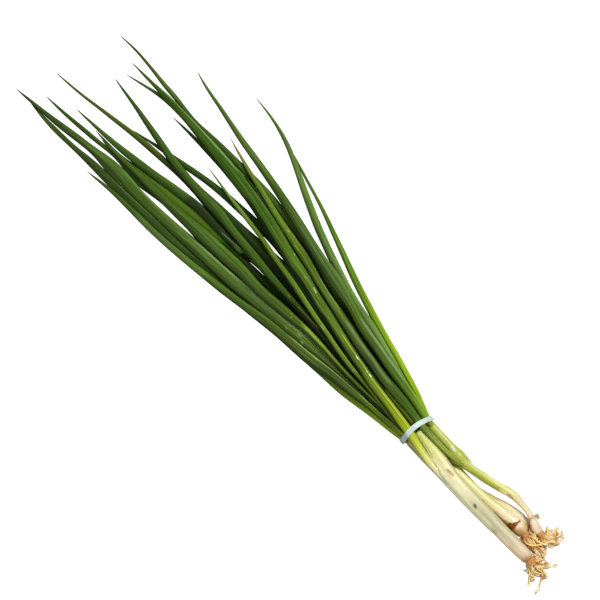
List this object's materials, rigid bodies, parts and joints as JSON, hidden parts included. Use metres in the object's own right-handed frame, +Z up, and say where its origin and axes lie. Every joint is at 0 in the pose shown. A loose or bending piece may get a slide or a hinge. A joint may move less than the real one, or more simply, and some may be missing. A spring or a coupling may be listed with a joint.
{
  "type": "spring onion bunch",
  "caption": "Bunch of fresh spring onions lying down, with white stems, fine roots and long green leaves that fan out past a pale rubber band.",
  "frame": {"origin": "middle of the bunch's footprint, on the surface it lies on", "axes": "+X towards the leaf tips, roots at -X, +Y across the bunch, +Z up"},
  "size_m": [0.4298, 0.105, 0.02],
  "materials": {
    "white_stem": "waxy white stem",
    "yellow_stem": "waxy pale yellow-green stem",
    "bright_leaf": "bright lime-green leaf, waxy",
    "mid_leaf": "mid green leaf, waxy",
    "dark_leaf": "dark green leaf, waxy",
    "bloom_leaf": "grey-green leaf with a waxy bloom",
    "olive_leaf": "olive leaf, waxy",
    "root": "dry golden tan fibre",
    "dry_skin": "thin dry papery skin",
    "band": "pale blue-white rubber, satin"
  },
  "bodies": {
    "root": {"onion_1_leaf_1": "bright_leaf", "onion_1_leaf_2": "bright_leaf", "onion_1_leaf_3": "mid_leaf", "onion_1_leaf_4": "dark_leaf", "onion_1_roots": "root", "onion_1_stem": "white_stem", "onion_2_dry_skin": "dry_skin", "onion_2_leaf_1": "mid_leaf", "onion_2_leaf_2": "olive_leaf", "onion_2_leaf_3": "olive_leaf", "onion_2_leaf_4": "dark_leaf", "onion_2_roots": "root", "onion_2_stem": "white_stem", "onion_3_leaf_1": "dark_leaf", "onion_3_leaf_2": "mid_leaf", "onion_3_leaf_3": "mid_leaf", "onion_3_leaf_4": "mid_leaf", "onion_3_leaf_5": "olive_leaf", "onion_3_roots": "root", "onion_3_stem": "yellow_stem", "onion_4_dry_skin": "dry_skin", "onion_4_leaf_1": "dark_leaf", "onion_4_leaf_2": "bloom_leaf", "onion_4_leaf_3": "bloom_leaf", "onion_4_leaf_4": "bright_leaf", "onion_4_roots": "root", "onion_4_stem": "yellow_stem", "onion_5_leaf_1": "mid_leaf", "onion_5_leaf_2": "mid_leaf", "onion_5_leaf_3": "dark_leaf", "onion_5_leaf_4": "mid_leaf", "onion_5_roots": "root", "onion_5_stem": "yellow_stem", "rubber_band": "band"}
  },
  "joints": []
}
